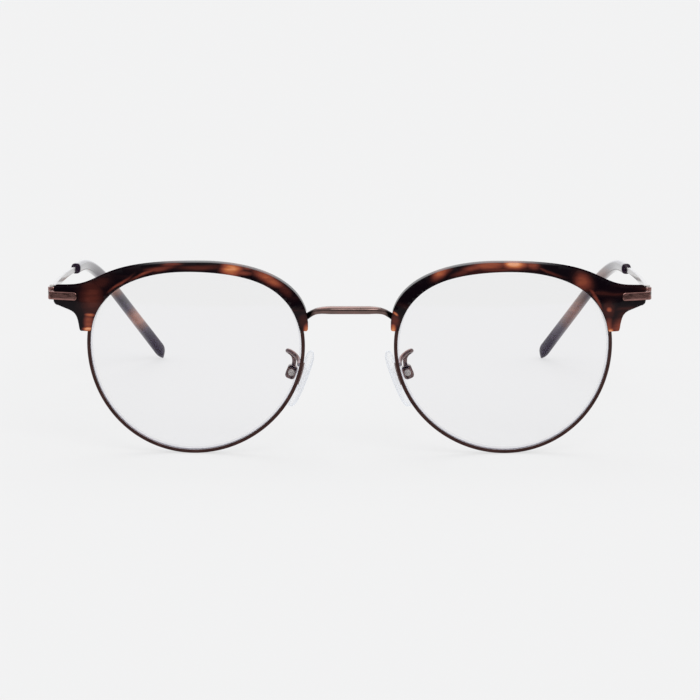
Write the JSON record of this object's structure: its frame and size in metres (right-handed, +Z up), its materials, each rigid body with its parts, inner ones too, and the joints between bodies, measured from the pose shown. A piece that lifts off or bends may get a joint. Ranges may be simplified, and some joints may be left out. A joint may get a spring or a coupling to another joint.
{
  "type": "browline glasses",
  "caption": "Browline spectacles: metal eyewires with a tortoise acetate browline, folding metal temples with acetate tips, and rocking clear nose pads.",
  "frame": {"origin": "on the table under the middle of the open frame's width and depth", "axes": "+X towards the wearer's left, -Y the way the wearer looks, +Z up"},
  "size_m": [0.1424, 0.1424, 0.0453],
  "materials": {
    "acetate": "polished dark tortoise, near black with red-brown and amber patches",
    "dark_metal": "dark antique brown plating",
    "rose_metal": "brushed rose-brown plating",
    "screw_steel": "bright steel",
    "pad_core_plastic": "stiff clear core inside the pad",
    "pad_silicone": "clear soft silicone",
    "lens": "clear demo lens with a plain coating"
  },
  "bodies": {
    "front": {"brow_left": "acetate", "brow_right": "acetate", "rim_left": "dark_metal", "rim_right": "dark_metal", "lens_left": "lens", "lens_right": "lens", "rim_lock_left": "dark_metal", "rim_lock_right": "dark_metal", "rim_lock_screw_left": "screw_steel", "rim_lock_screw_right": "screw_steel", "brow_screw_left": "screw_steel", "brow_screw_right": "screw_steel", "endpiece_left": "rose_metal", "endpiece_right": "rose_metal", "endpiece_screws_left": "screw_steel", "endpiece_screws_right": "screw_steel", "hinge_screw_left": "screw_steel", "hinge_screw_right": "screw_steel", "pad_arm_left": "rose_metal", "pad_arm_right": "rose_metal", "pad_screw_left": "screw_steel", "pad_screw_right": "screw_steel", "bridge": "rose_metal"},
    "temple_left": {"temple_left": "dark_metal", "tip_left": "acetate"},
    "temple_right": {"temple_right": "dark_metal", "tip_right": "acetate"},
    "pad_left": {"pad_core_left": "pad_core_plastic", "nose_pad_left": "pad_silicone"},
    "pad_right": {"pad_core_right": "pad_core_plastic", "nose_pad_right": "pad_silicone"}
  },
  "joints": [
    {"name": "temple_left_fold", "type": "hinge", "parent": "front", "child": "temple_left", "pos_m": [0.0696, -0.05909, 0.0367], "axis": [0, 0, 1], "range_deg": [0, 83]},
    {"name": "temple_right_fold", "type": "hinge", "parent": "front", "child": "temple_right", "pos_m": [-0.0696, -0.05909, 0.0367], "axis": [0, 0, -1], "range_deg": [0, 77]},
    {"name": "pad_left_rock", "type": "hinge", "parent": "front", "child": "pad_left", "pos_m": [0.01365, -0.06049, 0.0182], "axis": [0, 1, 0], "range_deg": [-8, 8]},
    {"name": "pad_right_rock", "type": "hinge", "parent": "front", "child": "pad_right", "pos_m": [-0.01365, -0.06049, 0.0182], "axis": [0, 1, 0], "range_deg": [-8, 8]}
  ]
}
